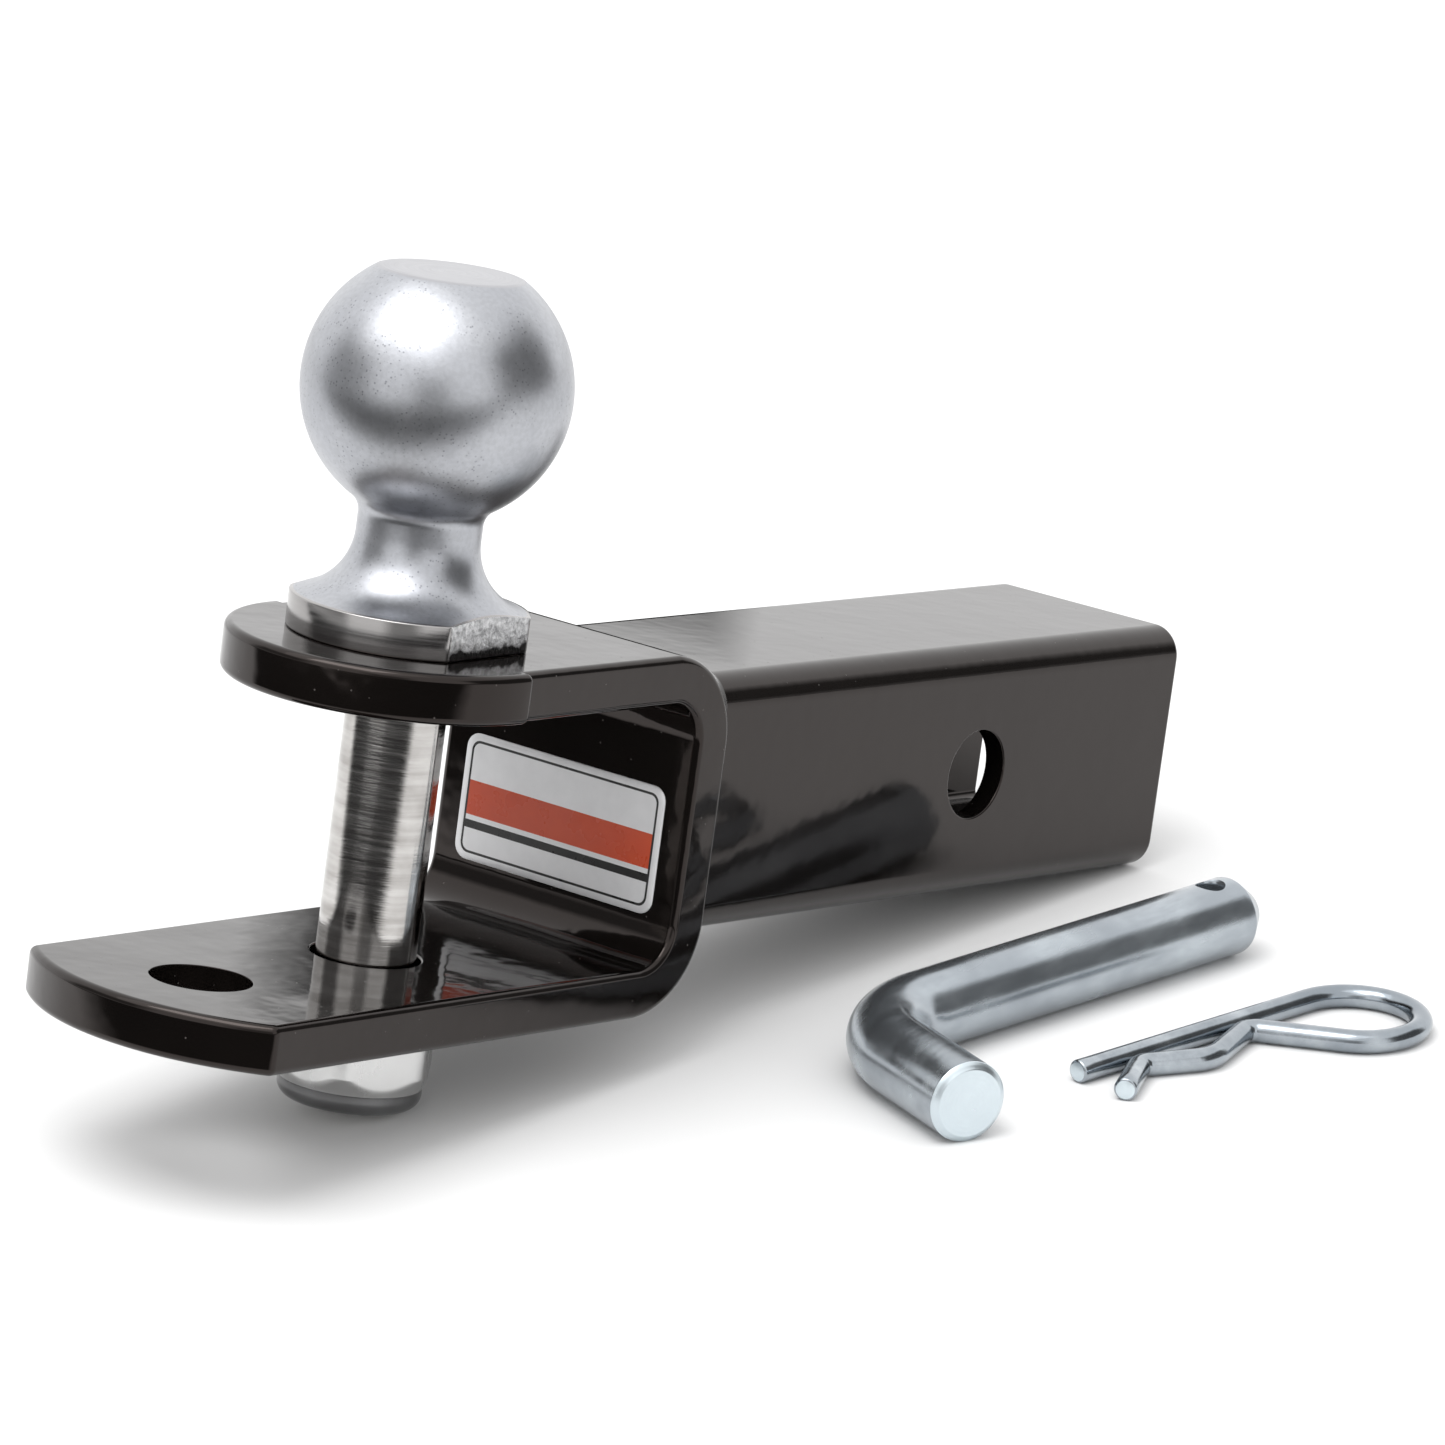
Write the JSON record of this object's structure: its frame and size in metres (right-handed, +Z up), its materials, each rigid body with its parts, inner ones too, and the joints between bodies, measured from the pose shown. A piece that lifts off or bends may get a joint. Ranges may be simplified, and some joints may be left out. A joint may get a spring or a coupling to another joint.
{
  "type": "trailer hitch ball mount",
  "caption": "Clevis style ball mount with tow ball, lock nut, square receiver tube, bent retaining pin and spring clip.",
  "frame": {"origin": "centre of the receiver tube's pin hole, midway between its two side walls", "axes": "+X along the pin hole, towards the side with the loose pin; +Y level, towards the tube's open end; +Z up. The hitch lies leaned back by about 8.7 degrees, resting on its nut and the lower edge of its tube."},
  "size_m": [0.1591, 0.2922, 0.16],
  "materials": {
    "black_coat": "gloss black powder coat with soft edges and light orange peel",
    "weld_coat": "gloss black powder coat over a rippled weld bead",
    "ball_metal": "satin zinc over turned steel",
    "nut_zinc": "satin bright zinc plate",
    "nylon": "matt natural nylon",
    "pin_zinc": "bright zinc plate, lightly mottled",
    "clip_zinc": "bright zinc plated spring wire",
    "label_film": "plain printed foil label with a border and a coloured band"
  },
  "bodies": {
    "hitch": {"clevis_bracket": "black_coat", "receiver_tube": "black_coat", "tube_weld": "weld_coat", "plain_label": "label_film"},
    "ball": {"tow_ball": "ball_metal"},
    "insert": {"nylon_insert": "nylon"},
    "nut": {"lock_nut": "nut_zinc"},
    "pin": {"hitch_pin": "pin_zinc"},
    "clip": {"pin_clip": "clip_zinc"}
  },
  "joints": [
    {"name": "ball_lift", "type": "slide", "parent": "hitch", "child": "ball", "axis": [0, 0.152, 0.9884], "range_m": [0, 0.1]},
    {"name": "nut_travel", "type": "slide", "parent": "hitch", "child": "insert", "axis": [0, -0.152, -0.9884], "range_m": [0, 0.0365]},
    {"name": "nut_turn", "type": "hinge", "parent": "insert", "child": "nut", "pos_m": [0, -0.15466, -0.01486], "axis": [0, 0.152, 0.9884], "range_deg": [0, 8280]},
    {"name": "pin_pick_up", "type": "slide", "parent": "hitch", "child": "pin", "axis": [0, 0, 1], "range_m": [0, 0.15]},
    {"name": "clip_pick_up", "type": "slide", "parent": "hitch", "child": "clip", "axis": [0, 0, 1], "range_m": [0, 0.15]}
  ],
  "couplings": [
    {"joint": "nut_travel", "follows": "nut_turn", "m_per_rad": 0.00025266}
  ]
}
